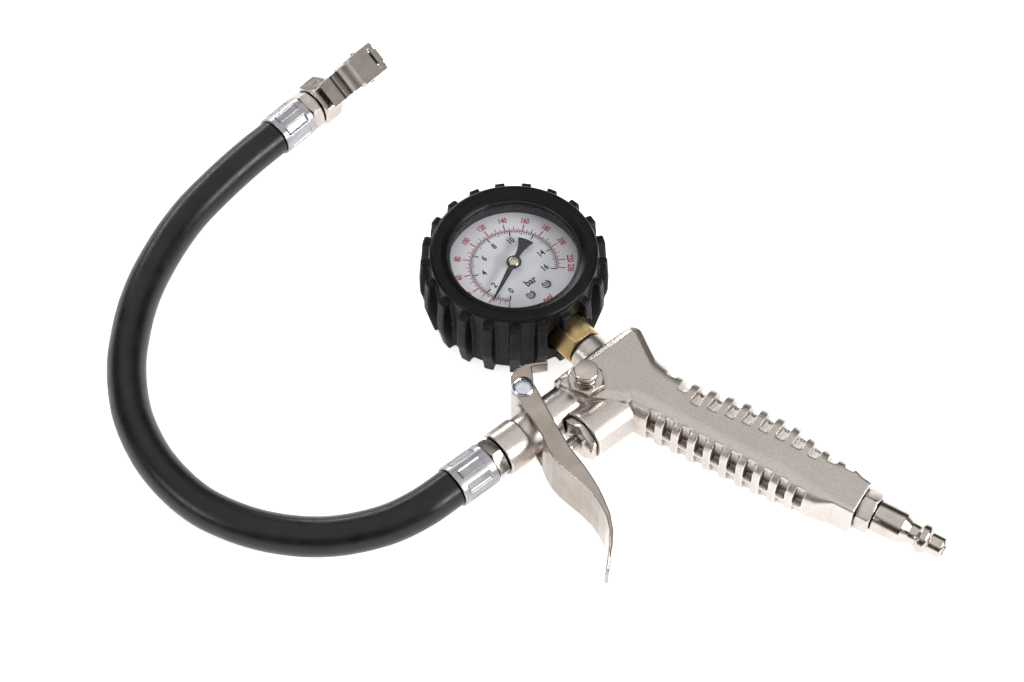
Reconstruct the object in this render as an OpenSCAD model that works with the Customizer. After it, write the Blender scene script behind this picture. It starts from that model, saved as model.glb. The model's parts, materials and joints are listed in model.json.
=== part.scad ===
// Hand-held tyre inflator: die-cast gun with a trigger lever, a dry dial gauge in a rubber boot,
// a short hose and a clip-on tyre chuck. It lies on its side, dial up.
// Millimetres. The origin is on the gauge axis, in the plane that the boot's back lies on.
// +Z is the way the dial faces, +X runs along the barrel away from the hose, +Y points at the gauge.

/* [Gauge] */
// Outer diameter of the boot's front rim
boot_d = 65; // [60:1:80]
// Depth of the boot, back face to front rim
boot_h = 33.6; // [30:0.1:40]
// Number of grip ribs round the boot
boot_ribs = 21; // [9:1:27]
// Width of one rib
rib_w = 3.8; // [2:0.1:5]
// Height of a rib over the boot's drum
rib_out = 4; // [1:0.1:5]
// Outer diameter of the gauge case
case_d = 53; // [44:0.5:54]
// Thickness of the case's sheet
case_wall = 0.8; // [0.5:0.1:1.2]
// Width of the snap ring's face, over the lens
ring_face = 2.2; // [1.6:0.1:3]
// Width across the flats of the gauge stem's hexagon
stem_af = 15; // [13:0.5:18]

/* [Gun body] */
// Height of the gun's middle plane over the table
mid_z = 15; // [14:0.5:20]
// Thickness of the casting at the valve head
head_t = 22; // [20:0.5:24]
// Distance from the gauge axis to the barrel axis
barrel_drop = 57.1; // [55:0.1:69]
// Outer diameter of the barrel
barrel_d = 16.4; // [14:0.2:17]
// Outer diameter of the collar at the barrel's mouth
collar_d = 17.8; // [16:0.2:20]
// Distance from the barrel axis to the valve housing axis
housing_drop = 14.3; // [13.5:0.1:16]
// Outer diameter of the valve housing
housing_d = 19; // [17:0.2:19.6]
// Width of the grip, front to back
grip_w = 28; // [24:0.5:32]
// Angle of the grip below the barrel
grip_angle = 71.8; // [65:0.2:78]
// Number of finger pockets down the front of the grip
pocket_count = 10; // [4:1:11]
// Pitch of the pockets and of the back notches
pocket_pitch = 6.8; // [6:0.1:7]

/* [Trigger lever] */
// Outer width of the pressed lever
lever_w = 23; // [22.4:0.2:26]
// Thickness of the lever's sheet
lever_t = 1.5; // [1:0.1:1.8]
// Diameter of the rivet that the lever turns on
pivot_d = 5; // [4:0.2:6]
// Travel of the trigger in degrees
trigger_travel = 11; // [6:1:12]

/* [Valves] */
// Diameter of the valve stem
valve_stem_d = 5; // [4:0.2:6]
// Diameter of the bore of the valve housing
chamber_d = 12; // [10:0.2:14.4]
// Width across the flats of the valve's gland nut
gland_af = 16; // [14:0.5:17]
// Width across the flats of the bleed valve
bleed_af = 13; // [11:0.5:14]
// Diameter of the bleed button
button_d = 9.6; // [8:0.2:10.4]
// Travel of the bleed button
button_travel = 1.6; // [1:0.1:2]

/* [Hose and fittings] */
// Outer diameter of the hose
hose_d = 15; // [13:0.5:18]
// Wall of the swaged ferrules, over the hose
ferrule_wall = 0.9; // [0.6:0.1:1.4]
// Length of a ferrule
ferrule_l = 16; // [12:0.5:18]
// Width across the flats of the hose nuts
hose_nut_af = 15; // [14:0.5:16]
// Length of the inlet plug's nose, outside its hexagon
plug_l = 27.5; // [24:0.5:32]
// Width across the flats of the inlet plug
plug_af = 14; // [13:0.5:16]

/* [Chuck] */
// Width across the flats of the chuck body
chuck_af = 16.6; // [15:0.2:18]
// Bore of the chuck's mouth, over a tyre valve's thread
mouth_d = 8.2; // [8:0.1:8.6]
// Width of the clip's thumb pad
clip_w = 11.4; // [10:0.2:13]
// Roll of the chuck about its own axis as it lies
chuck_roll = 35; // [0:1:45]
// Diameter of the clip's pin
clip_pin_d = 2; // [1.6:0.1:2.4]

/* [Hidden] */
$fn = 64;

// Fits
fit = 0.05;          // radial clearance of a turning or sliding fit
seat = 0.1;          // clearance between pieces that lie in one another
eps = 0.01;

// Colours
CAST = "#C9C2BA";
NICKEL = "#D4CFC8";
BRASS = "#B8904F";
RUBBER = "#1B1B1D";
ALUMINIUM = "#D8D9DC";
STEEL = "#BFC1C4";

// Gauge
boot_r = boot_d / 2;
boot_back_r = boot_r - 1.6;
case_r = case_d / 2;
boot_floor = 2.4;
lip_t = 1.4;                         // depth of the lip that hooks over the snap ring
case_z0 = boot_floor + seat;
bezel_z1 = boot_h - lip_t - seat;
bezel_t = 2.2;
lens_t = 1.6;
lens_z1 = bezel_z1 - bezel_t;
lens_z0 = lens_z1 - lens_t;
case_z1 = lens_z0;
dial_t = 0.6;
dial_z1 = lens_z0 - 4;
dial_z0 = dial_z1 - dial_t;
case_in_r = case_r - case_wall;
dial_show_r = case_r - ring_face;    // the dial that shows inside the snap ring
stem_ac_r = stem_af / 2 / cos(30);

// Middles of the two dial screws, on either side of the stem's line
dial_screw_at = [[-3.9, -14.7], [3.9, -14.7]];

// Barrel, head and housing
barrel_y = -barrel_drop;
barrel_r = barrel_d / 2;
collar_x0 = -55.8;
collar_l = 10.5;
collar_r = collar_d / 2;
head_x0 = -22.5;
head_x1 = 18.5;
head_y1 = barrel_y + 8;
head_r = 4;                          // rounding of the head's edges
air_r = 3.5;                         // air passages
housing_y = barrel_y - housing_drop;
housing_r = housing_d / 2;
housing_x0 = -26.2;
housing_x1 = 2;
boss_r = 7.7;
boss_y1 = head_y1 + 6.4;             // end of the boss that the gauge stem screws into
port_r = 4.8;                        // thread of the gauge port
port_depth = 9;

// Trigger pivot
pivot = [-34.1, barrel_y + 11.2];
lug_r = 4.5;
lever_in = lever_w / 2 - lever_t;    // from the middle plane to an arm's inner face
lug_h = 2 * (lever_in - 0.2);

// Grip: its own axes start at the outer end of the plug's hexagon, s runs out along the plug
grip_at = [33.3, barrel_y - 107.9];
hex_l = 6;
grip_front = -grip_w * 0.455;
grip_back = grip_w + grip_front;
grip_r = 7;

// Outer face of the lever's web, from under the barrel to the tip: (x, distance from the barrel axis)
LEVER_WEB = [
    [-42.6, -9.9], [-44.2, -13.9], [-45.4, -18.9], [-45.7, -23.4], [-45.2, -28.9], [-44.6, -34.4],
    [-44.6, -39.9], [-45.3, -44.9], [-47, -50.4], [-49.8, -55.2], [-53, -58.8], [-56.6, -61.9],
    [-60, -64.5]
];
// Inner edge of the near and far arms beside it
LEVER_EDGE = [
    [-35.4, -9.9], [-36.4, -13.9], [-37.6, -18.9], [-38.2, -23.4], [-38.8, -28.9], [-39.8, -34.4],
    [-41.1, -39.9], [-42.8, -44.9], [-45, -50.4], [-48.2, -55.2]
];
lever_gap = 0.75;                    // play between the lever's web and the valve stem's button
web_slope = 1.03;                    // the web leans, so along X it is thicker than its sheet

// Main valve
gland_t = 3.2;
gland_x0 = housing_x0 - gland_t;
gland_spigot_l = 7;
gland_ac_r = gland_af / 2 / cos(30);
nut_room = 0.4;
chamber_r = chamber_d / 2;
chamber_x1 = 4.2;
passage_x = -16;
stem_r = valve_stem_d / 2;
web_x = lookup(-housing_drop, [for (p = LEVER_WEB) [p[1], p[0]]]);
stem_tip_x = web_x + web_slope * lever_t + lever_gap;
seat_x0 = -13;
seat_l = 5;
seat_hole_r = stem_r + 1;
seal_t = 1.2;
poppet_x0 = seat_x0 + seat_l + seal_t;
poppet_t = 2;
poppet_r = chamber_r - 1.2;

// Bleed valve
bleed_at = [-14.9, barrel_y - 1.95];
bleed_hex_z0 = mid_z + head_t / 2;
bleed_hex_t = 3.4;
bleed_spigot_l = 6;
bleed_bore_r = 3;
button_z1 = mid_z + 20;
button_t = 2.6;
guide_z0 = bleed_hex_z0 - bleed_spigot_l + 5;

// Hose fittings
nut_l = 5.2;
gap_l = 0.4;
gun_nut_x0 = collar_x0 - gap_l - nut_l;
gun_ferrule_x0 = gun_nut_x0 - ferrule_l;
hose_r = hose_d / 2;
ferrule_r = hose_r + ferrule_wall;
hose_bore_r = 4.8;

// Chuck: s runs from the nut to the mouth, h is the normal of the clip's plate
chuck_hex_r = chuck_af / 2 / cos(30);
chuck_at = [-10.2, 122.1, max(chuck_hex_r, ferrule_r) + 0.1];
chuck_yaw = 7.5;
chuck_hex_s0 = 5.6;
chuck_hex_s1 = 15;
neck_r = 5.2;
mouth_s0 = 24;
mouth_s1 = 38;
mouth_r = mouth_d / 2;
mouth_out_r = mouth_r + 2.2;
lobe_r = 1.6;
seal_r = mouth_r + 1;
chuck_thread_r = 3.4;
spring_s = 21.7;                     // the clip's spring stands under its dip
clip_pin_at = [31, 7.2];
clip_t = 1;
clip_h = 10.6;                       // top of the clip's head
clip_head_w = 13.4;

// Route of the hose, from the gun's ferrule round to the chuck's
hose_exit = [gun_ferrule_x0, barrel_y, mid_z];
hose_lay = hose_r + 0.05;
hose_route = [
    [-90, barrel_y + 0.6, mid_z - 1], [-102, barrel_y + 3.6, mid_z - 3],
    [-113, barrel_y + 9.1, hose_lay + 2.45], [-123, barrel_y + 16.1, hose_lay + 0.85],
    [-132, -32.5, hose_lay + 0.15], [-140, -22.5, hose_lay], [-146, -12, hose_lay],
    [-150.5, -0.5, hose_lay], [-152.5, 12, hose_lay], [-152.5, 25, hose_lay],
    [-150.5, 37, hose_lay], [-147, 48.5, hose_lay], [-141.5, 59.5, hose_lay],
    [-134.5, 70, hose_lay], [-126, 79.5, hose_lay], [-117, 88, hose_lay],
    [-107, 95.5, hose_lay], [-96, 102, hose_lay], [-85, 107.5, hose_lay],
    [-73.5, 112, hose_lay], [-62, 115, hose_lay + 0.15],
    [-50, 117.3, hose_lay + 0.75], [-38, 118.9, hose_lay + 1.55]
];
hose_sides = 12;

// ---------- helpers ----------

module in_grip() {
    translate([grip_at[0], grip_at[1], mid_z])
        rotate([0, 0, -grip_angle])
            children();
}

module along_x(x, y = barrel_y) {
    translate([x, y, mid_z])
        rotate([0, 90, 0])
            children();
}

module on_chuck() {
    translate(chuck_at)
        rotate([0, 0, chuck_yaw])
            rotate([chuck_roll, 0, 0])
                children();
}

// Solid of revolution about the chuck's own axis
module chuck_turned() {
    rotate([0, 90, 0])
        children();
}

// Hexagonal prism on +Z, its end corners turned off at 30 degrees as on a real nut
module hex_prism(af, h, chamfer = true) {
    corner_r = af / 2 / cos(30);
    cut = (corner_r - af / 2) * tan(30) * 1.2;
    intersection() {
        cylinder(r = corner_r, h = h, $fn = 6);
        if (chamfer)
            rotate_extrude()
                polygon([[0, 0], [af / 2 * 0.97, 0], [corner_r + eps, cut], [corner_r + eps, h - cut],
                         [af / 2 * 0.97, h], [0, h]]);
    }
}

module tube(r, bore, h) {
    difference() {
        cylinder(r = r, h = h);
        translate([0, 0, -eps])
            cylinder(r = bore, h = h + 2 * eps);
    }
}

// Disc with rounded edges, middle at the origin: a child of hull()
module puck(r, t, edge) {
    for (k = [0, 1, 2]) {
        a = k * 45;
        cylinder(r = r - edge * (1 - cos(a)), h = t - 2 * edge * (1 - sin(a)), center = true, $fn = 40);
    }
}

// Coil spring as a stack of rings joined by a helix swept with short cylinders
module coil(r, wire, h, turns) {
    steps = 12;
    n = turns * steps;
    points = [for (k = [0:n])
        let (a = k * 360 / steps)
        [r * cos(a), r * sin(a), wire / 2 + (h - wire) * k / n]];
    sweep(points, wire / 2, 6);
}

function unit(v) = v / norm(v);
function tangent(p, k) =
    k == 0 ? unit(p[1] - p[0]) :
    k == len(p) - 1 ? unit(p[k] - p[k - 1]) :
    unit(p[k + 1] - p[k - 1]);
function side(t) = unit(cross([0, 0, 1], t));
function ring(c, t, r, n) =
    [for (j = [0:n - 1]) c + r * (cos(j * 360 / n) * side(t) + sin(j * 360 / n) * cross(t, side(t)))];

// One polyhedron along a list of points; first and last give the end faces their own directions
module sweep(p, r, n, first = undef, last = undef) {
    m = len(p);
    t = [for (k = [0:m - 1])
        k == 0 && first != undef ? first :
        k == m - 1 && last != undef ? last : tangent(p, k)];
    points = [for (k = [0:m - 1]) each ring(p[k], t[k], r, n)];
    walls = [for (k = [0:m - 2], j = [0:n - 1])
        [k * n + j, (k + 1) * n + j, (k + 1) * n + (j + 1) % n, k * n + (j + 1) % n]];
    start = [for (j = [0:n - 1]) j];
    end = [for (j = [n - 1:-1:0]) (m - 1) * n + j];
    polyhedron(points, concat(walls, [start, end]), convexity = 8);
}

// ---------- gun body ----------

// Back outline of the grip as (s, share of grip_back)
GRIP_STATIONS = [
    [-109, 1.2], [-105.5, 1.12], [-101.5, 0.95], [-98, 0.85], [-93, 0.77], [-88, 0.74],
    [-83, 0.75], [-76, 0.82], [-69, 0.88],
    [-62, 0.94], [-55, 0.98], [-48, 1.0], [-41, 0.99], [-34, 0.92], [-27, 0.83], [-20, 0.74],
    [-14, 0.6], [-10, 0.5], [-hex_l, 0.46]
];

// The casting thins by 3 mm towards the plug, in one smooth sweep
function grip_half_t(s) = head_t / 2 - 1.5 * (1 - cos(180 * min(max((s + 48) / 36, 0), 1)));
function grip_front_at(s) = grip_front + 4.2 * (s < -22 ? 0 : s > -15 ? 1 : (s + 22) / 7);
function grip_edge_r(s) = s < -22 ? grip_r : s > -15 ? 1.6 : grip_r - (grip_r - 1.6) * (s + 22) / 7;

// Rounded rectangle between y0 and y1, half height h, as points in a plane across the grip
function grip_ring(s, share) =
    let (y0 = grip_front_at(s), y1 = grip_back * share, h = grip_half_t(s), q = grip_edge_r(s), n = 6)
    [for (c = [[y1 - q, h - q, 0], [y0 + q, h - q, 90], [y0 + q, q - h, 180], [y1 - q, q - h, 270]])
        for (k = [0:n])
            [s, c[0] + q * cos(c[2] + k * 90 / n), c[1] + q * sin(c[2] + k * 90 / n)]];

module grip_solid() {
    n = 28;
    m = len(GRIP_STATIONS);
    points = [for (g = GRIP_STATIONS) each grip_ring(g[0], g[1])];
    walls = [for (k = [0:m - 2], j = [0:n - 1])
        [k * n + j, (k + 1) * n + j, (k + 1) * n + (j + 1) % n, k * n + (j + 1) % n]];
    start = [for (j = [0:n - 1]) j];
    end = [for (j = [n - 1:-1:0]) (m - 1) * n + j];
    in_grip()
        polyhedron(points, concat(walls, [start, end]), convexity = 8);
}

pocket_w = 3.5;
pocket_s0 = -89.4;
pocket_deep = 3.4;
rib_half = 0.7;                      // half of the parting rib left on the middle plane
notch_s0 = -85.3;

// Finger pockets in the front edge, in both halves of the casting
module grip_pockets() {
    for (k = [0:pocket_count - 1], up = [0, 1])
        in_grip()
            mirror([0, 0, up])
                translate([pocket_s0 + k * pocket_pitch, grip_front - 5, rib_half])
                    cube([pocket_w, 5 + pocket_deep, head_t]);
}

// Notches in the back edge, sloped as the mould draws them
module grip_notches() {
    for (k = [-1:pocket_count], up = [0, 1]) {
        s = notch_s0 + k * pocket_pitch;
        reach = lookup(s, GRIP_STATIONS) * grip_back;
        deep = min(1, 0.42 + 0.29 * min(k + 1, pocket_count - k));
        in_grip()
            mirror([0, 0, up])
                translate([s, 0, 0])
                    rotate([90, 0, 90])
                        linear_extrude(pocket_w)
                            polygon([[reach + 4, rib_half], [reach - 2.6 * deep, rib_half],
                                     [reach - 4.6 * deep, 5.5], [reach - 12 * deep, head_t / 2 + eps],
                                     [reach - 12 * deep, head_t], [reach + 4, head_t]]);
    }
}

module head_solid() {
    // plate between the barrel, the boss and the grip
    hull() {
        translate([head_x0 + head_r, head_y1 - head_r, mid_z]) puck(head_r, head_t, head_r - 0.2);
        translate([head_x1 - 5, head_y1 - 4.6, mid_z]) puck(4.6, head_t, head_r - 0.2);
        translate([8.6, housing_y + 2, mid_z]) puck(4, head_t, head_r - 0.2);
        translate([head_x0 + head_r + 2, barrel_y - 4, mid_z]) puck(head_r, head_t, head_r - 0.2);
        translate([-6, housing_y, mid_z]) puck(5, head_t, head_r - 0.2);
    }
}

module gun_body() {
    color(CAST)
    difference() {
        union() {
            head_solid();
            grip_solid();
            along_x(collar_x0) cylinder(r = collar_r, h = collar_l);
            along_x(collar_x0 + 1) cylinder(r = barrel_r, h = head_x0 - collar_x0 + 8);
            along_x(housing_x0, housing_y) cylinder(r = housing_r, h = housing_x1 - housing_x0);
            // boss for the gauge stem
            translate([0, boss_y1, mid_z]) rotate([90, 0, 0]) cylinder(r = boss_r, h = boss_y1 - barrel_y);
            // lug for the trigger rivet and the rib that carries it
            translate([pivot[0], pivot[1], mid_z - lug_h / 2]) cylinder(r = lug_r, h = lug_h);
            translate([pivot[0] - lug_r, barrel_y, mid_z - lug_h / 4])
                cube([2 * lug_r, pivot[1] - barrel_y, lug_h / 2]);
            // step and web between the barrel, the head and the housing
            translate([head_x0 + 1, barrel_y - 3, mid_z - 6]) cube([9, 11.6, 12]);
            translate([housing_x0 + 1.5, housing_y, mid_z - 2]) cube([9, housing_drop, 4]);
        }
        grip_pockets();
        grip_notches();
        // barrel bore with the hose fitting's thread
        along_x(collar_x0 - eps) cylinder(r = air_r, h = 8 - collar_x0);
        along_x(collar_x0 - eps) cylinder(r = 5.5 + fit, h = 8);
        // valve chamber, open at the gland
        along_x(housing_x0 - eps, housing_y) cylinder(r = chamber_r, h = chamber_x1 - housing_x0);
        // relief that lets the gland nut turn under the barrel
        along_x(gland_x0 - nut_room, housing_y)
            cylinder(r = gland_ac_r + nut_room, h = gland_t + nut_room + eps);
        // passage from the chamber up to the barrel
        translate([passage_x, housing_y, mid_z]) rotate([-90, 0, 0]) cylinder(r = 2, h = housing_drop);
        // gauge port
        translate([0, boss_y1 + eps, mid_z]) rotate([90, 0, 0]) cylinder(r = port_r, h = port_depth);
        translate([0, boss_y1 + eps, mid_z]) rotate([90, 0, 0]) cylinder(r = 2, h = boss_y1 - barrel_y);
        // bleed port
        translate([bleed_at[0], bleed_at[1], mid_z]) cylinder(r = 1.6, h = head_t);
        translate([bleed_at[0], bleed_at[1], bleed_hex_z0 - bleed_spigot_l])
            cylinder(r = bleed_bore_r + 1.4, h = bleed_spigot_l + 1);
        // rivet hole
        translate([pivot[0], pivot[1], 0]) cylinder(r = pivot_d / 2 + fit, h = 2 * mid_z);
        // inlet passage up the grip, and its thread
        in_grip() rotate([0, -90, 0]) cylinder(r = air_r, h = 99);
        in_grip() translate([-hex_l + eps, 0, 0]) rotate([0, -90, 0]) cylinder(r = 5.5, h = 11);
    }
}

// ---------- trigger lever ----------

// Stop tab at the top of the near arm
tab_turn = -30;
tab_at = [2.6, 8.7];
tab_l = 8.4;
tab_h = 5.6;

module lever_web(x0, x1) {
    m = len(LEVER_WEB);
    inner = [for (k = [0:m - 1])
        let (a = LEVER_WEB[max(k - 1, 0)], b = LEVER_WEB[min(k + 1, m - 1)], d = unit(b - a))
        LEVER_WEB[k] + lever_t * [-d[1], d[0]]];
    translate([0, barrel_y, x0])
        linear_extrude(x1 - x0)
            polygon(concat(LEVER_WEB, [for (k = [m - 1:-1:0]) inner[k]]));
}

module lever_arm(z) {
    m = len(LEVER_EDGE);
    translate([0, 0, z])
        linear_extrude(lever_t)
            polygon(concat(
                [[pivot[0] - 4.2, pivot[1] - 1.4]],
                [for (k = [0:m - 1]) LEVER_WEB[k] + [0.2, barrel_y]],
                [for (k = [m - 1:-1:0]) LEVER_EDGE[k] + [0, barrel_y]],
                [[pivot[0] + 4, pivot[1] - 2]]));
    translate([pivot[0], pivot[1], z])
        cylinder(r = 4.4, h = lever_t);
}

module trigger_lever() {
    z0 = mid_z - lever_w / 2;
    z1 = mid_z + lever_w / 2;
    color(NICKEL)
    difference() {
        union() {
            lever_arm(z0);
            lever_arm(z1 - lever_t);
            intersection() {
                lever_web(z0, z1);
                // the tongue narrows to a round tip
                rotate([90, 0, 0])
                    linear_extrude(200)
                        polygon([[-30, z0], [-50.5, z0], [-55.6, mid_z - 7.8], [-58.6, mid_z - 5],
                                 [-60.2, mid_z - 1.6], [-60.2, mid_z + 1.6], [-58.6, mid_z + 5],
                                 [-55.6, mid_z + 7.8], [-50.5, z1], [-30, z1]]);
            }
            // stop tab, folded down from the near arm
            translate([pivot[0], pivot[1], z1 - tab_h])
                rotate([0, 0, tab_turn])
                    translate([tab_at[0], tab_at[1], 0])
                        cube([tab_l, lever_t, tab_h]);
            translate([pivot[0], pivot[1], z1 - lever_t])
                rotate([0, 0, tab_turn])
                    linear_extrude(lever_t)
                        polygon([[-4.2, 1.5], [-3.6, 5.6], [-1, tab_at[1]], [tab_at[0], tab_at[1] + lever_t],
                                 [tab_at[0] + 2.4, tab_at[1] + lever_t], [4.2, 1.5]]);
        }
        translate([pivot[0], pivot[1], z0 - eps])
            cylinder(r = pivot_d / 2, h = lever_w + 2 * eps);
    }
}

module lever_pivot_pin() {
    z0 = mid_z - lever_w / 2;
    color(STEEL)
    translate([pivot[0], pivot[1], 0]) {
        translate([0, 0, z0]) cylinder(r = pivot_d / 2, h = lever_w);
        // domed head over the near arm, peened head under the far one
        translate([0, 0, mid_z + lever_w / 2])
            rotate_extrude()
                polygon(dome(4.4, 1.9));
        translate([0, 0, z0])
            mirror([0, 0, 1])
                rotate_extrude()
                    polygon(dome(3.6, 1));
    }
}

// Half section of a low dome: radius r, height h
function dome(r, h) = concat([[0, 0]], [for (k = [0:6]) [r * cos(k * 15), h * sin(k * 15)]]);

// ---------- main valve ----------

module valve_gland_nut() {
    color(NICKEL)
    along_x(gland_x0, housing_y)
    difference() {
        union() {
            hex_prism(gland_af, gland_t);
            translate([0, 0, gland_t - eps]) cylinder(r = chamber_r, h = gland_spigot_l);
        }
        translate([0, 0, -eps]) cylinder(r = stem_r + fit, h = 20);
        // gland for the O-ring
        translate([0, 0, gland_t + 3]) cylinder(r = stem_r + 1.8, h = 20);
    }
}

module stem_o_ring() {
    color(RUBBER)
    along_x(housing_x0 + 3.6, housing_y)
        tube(stem_r + 1.75, stem_r + fit, 1.8);
}

module valve_stem() {
    color(STEEL)
    along_x(stem_tip_x, housing_y) {
        // button that the lever's web pushes
        rotate_extrude()
            polygon([[0, 0], [1.2, 0.1], [2.2, 0.45], [3.1, 1.1], [3.6, 2.2], [3.6, 4.6], [stem_r, 5],
                     [0, 5]]);
        translate([0, 0, 5])
            cylinder(r = stem_r, h = poppet_x0 - stem_tip_x - 5);
    }
}

module valve_seat() {
    color(BRASS)
    along_x(seat_x0, housing_y)
        tube(chamber_r - 0.02, seat_hole_r, seat_l);
}

module valve_poppet() {
    color(BRASS)
    along_x(poppet_x0, housing_y)
    rotate_extrude()
        polygon([[0, 0], [poppet_r, 0], [poppet_r, poppet_t], [2, poppet_t], [2, poppet_t + 1.6],
                 [0, poppet_t + 1.6]]);
}

module poppet_seal() {
    color(RUBBER)
    along_x(seat_x0 + seat_l, housing_y)
        tube(poppet_r, stem_r, seal_t);
}

module poppet_spring() {
    x0 = poppet_x0 + poppet_t + fit;
    color(STEEL)
    along_x(x0, housing_y)
        coil(3.6, 0.8, chamber_x1 - x0, 4);
}

// ---------- bleed valve ----------

module bleed_valve_body() {
    color(NICKEL)
    translate([bleed_at[0], bleed_at[1], bleed_hex_z0])
    difference() {
        union() {
            rotate([0, 0, -4]) hex_prism(bleed_af, bleed_hex_t);
            translate([0, 0, -bleed_spigot_l]) cylinder(r = bleed_bore_r + 1.4, h = bleed_spigot_l + eps);
            translate([0, 0, bleed_hex_t - eps]) cylinder(r = 3.9, h = 1);
        }
        translate([0, 0, -bleed_spigot_l - eps]) cylinder(r = 1.8, h = 20);
        translate([0, 0, -bleed_spigot_l + 2.4]) cylinder(r = bleed_bore_r, h = 20);
    }
}

module bleed_button() {
    color(NICKEL)
    translate([bleed_at[0], bleed_at[1], 0]) {
        translate([0, 0, button_z1 - button_t])
            rotate_extrude()
                polygon([[0, 0], [button_d / 2 - 0.4, 0], [button_d / 2, 0.4], [button_d / 2, button_t - 0.5],
                         [button_d / 2 - 0.5, button_t], [0, button_t]]);
        translate([0, 0, guide_z0])
            cylinder(r = bleed_bore_r - fit, h = button_z1 - button_t - guide_z0 + eps);
        translate([0, 0, bleed_hex_z0 - bleed_spigot_l - 1.6])
            cylinder(r = 1.1, h = 8);
    }
}

module bleed_seal() {
    color(RUBBER)
    translate([bleed_at[0], bleed_at[1], bleed_hex_z0 - bleed_spigot_l - 1.4])
        tube(1.5, 1.1, 1.2);
}

module bleed_spring() {
    z0 = bleed_hex_z0 - bleed_spigot_l + 2.4;
    color(STEEL)
    translate([bleed_at[0], bleed_at[1], z0])
        coil(2.2, 0.5, 2.6, 3);
}

// ---------- inlet plug ----------

module inlet_plug() {
    color(NICKEL)
    in_grip()
    rotate([0, 90, 0])
    difference() {
        union() {
            translate([0, 0, -hex_l]) hex_prism(plug_af, hex_l);
            translate([0, 0, -hex_l - 10]) cylinder(r = 5.4, h = 10 + eps);
            rotate_extrude()
                polygon([[0, -eps], [5.6, -eps], [6.15, 0.6], [6.15, 11.2], [5.7, 11.8], [4.1, 14.2],
                         [4.1, 17.2], [5.2, 17.6], [5.8, 18.4], [5.8, 20.6], [5.2, 21.4], [4.1, 22],
                         [4.1, plug_l - 0.7], [3.4, plug_l], [0, plug_l]]);
        }
        translate([0, 0, -30]) cylinder(r = 2.6, h = 80);
    }
}

// ---------- gauge ----------

module gauge_boot() {
    color(RUBBER)
    difference() {
        union() {
            rotate_extrude()
                polygon([[0, 0], [boot_back_r - 1, 0], [boot_back_r, 1], [boot_r - 0.6, boot_h - 12],
                         [boot_r, boot_h - 4], [boot_r, boot_h - 1.4], [boot_r - 0.4, boot_h - 0.5],
                         [boot_r - 1.3, boot_h], [0, boot_h]]);
            for (k = [0:boot_ribs - 1])
                rotate([0, 0, -129.5 + k * 360 / boot_ribs])
                    rotate([90, 0, 0])
                        translate([0, 0, -rib_w / 2])
                            linear_extrude(rib_w)
                                polygon([[boot_back_r - 3, 0.6], [boot_r + rib_out - 3, 0.6],
                                         [boot_r + rib_out - 2.6, 1.4],
                                         [boot_r + rib_out, boot_h - 20], [boot_r + rib_out, boot_h - 14],
                                         [boot_r + 0.8 * rib_out, boot_h - 3.4],
                                         [boot_r + 0.6 * rib_out, boot_h - 2.6],
                                         [boot_back_r - 3, boot_h - 2.6]]);
        }
        // room for the case, and the flared mouth in front of it
        translate([0, 0, boot_floor])
            cylinder(r = case_r + seat, h = boot_h - lip_t - boot_floor);
        rotate_extrude()
            polygon([[0, boot_h - lip_t - eps], [dial_show_r + 0.8, boot_h - lip_t - eps],
                     [boot_r - 4.4, boot_h + eps], [0, boot_h + eps]]);
        // opening for the stem
        translate([0, -case_r + 2, mid_z])
            rotate([90, 0, 0])
                cylinder(r = stem_ac_r + 0.8, h = 20);
    }
}

module gauge_case() {
    color(RUBBER)
    translate([0, 0, case_z0])
    difference() {
        cylinder(r = case_r, h = case_z1 - case_z0);
        translate([0, 0, case_wall]) cylinder(r = case_in_r, h = 60);
        translate([0, -case_r + 5, mid_z - case_z0]) rotate([90, 0, 0]) cylinder(r = 6 + seat, h = 10);
    }
}

module gauge_bezel() {
    color(RUBBER)
    translate([0, 0, case_z1])
    difference() {
        cylinder(r = case_r, h = bezel_z1 - case_z1);
        translate([0, 0, -eps]) cylinder(r = case_r - 1, h = lens_t + 2 * eps);
        rotate_extrude()
            polygon([[0, lens_t - eps], [dial_show_r, lens_t - eps], [dial_show_r, lens_t + 0.6],
                     [dial_show_r + 0.8, lens_t + bezel_t + eps], [0, lens_t + bezel_t + eps]]);
    }
}

module gauge_lens() {
    color("#E8F0F4", 0.3)
    translate([0, 0, lens_z0])
        cylinder(r = case_r - 1 - 0.02, h = lens_t);
}

module dial_plate() {
    color("#ECEAF2")
    translate([0, 0, dial_z0])
    difference() {
        cylinder(r = case_in_r - seat, h = dial_t);
        translate([0, 0, -eps]) cylinder(r = 1.6, h = 2);
        for (p = dial_screw_at) translate([p[0], p[1], -eps]) cylinder(r = 1, h = 2);
    }
}

module dial_screws() {
    color(STEEL)
    for (p = dial_screw_at)
        translate([p[0], p[1], dial_z1])
            difference() {
                union() {
                    rotate_extrude() polygon(dome(1.9, 0.9));
                    translate([0, 0, -3]) cylinder(r = 1, h = 3 + eps);
                }
                rotate([0, 0, 30]) translate([-3, -0.22, 0.5]) cube([6, 0.44, 2]);
            }
}

pointer_z = dial_z1 + 2.2;
pointer_t = 0.4;
// Direction of the needle at rest, from +X
pointer_rest = -153.6;
needle_r = dial_show_r - 4.5;        // reach of the needle
fan_r = dial_show_r - 12.5;          // reach of the fan tail that balances it
fan_half = 16;
hub_r = 3;
neck_half = 0.9;                     // half width of the tail where it leaves the hub
FAN_SIDE = [
    for (k = [0:4])
        let (u = k / 4)
        [hub_r + (fan_r * cos(fan_half) - hub_r) * u,
         neck_half + (fan_r * sin(fan_half) - neck_half) * u * u]
];

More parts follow.
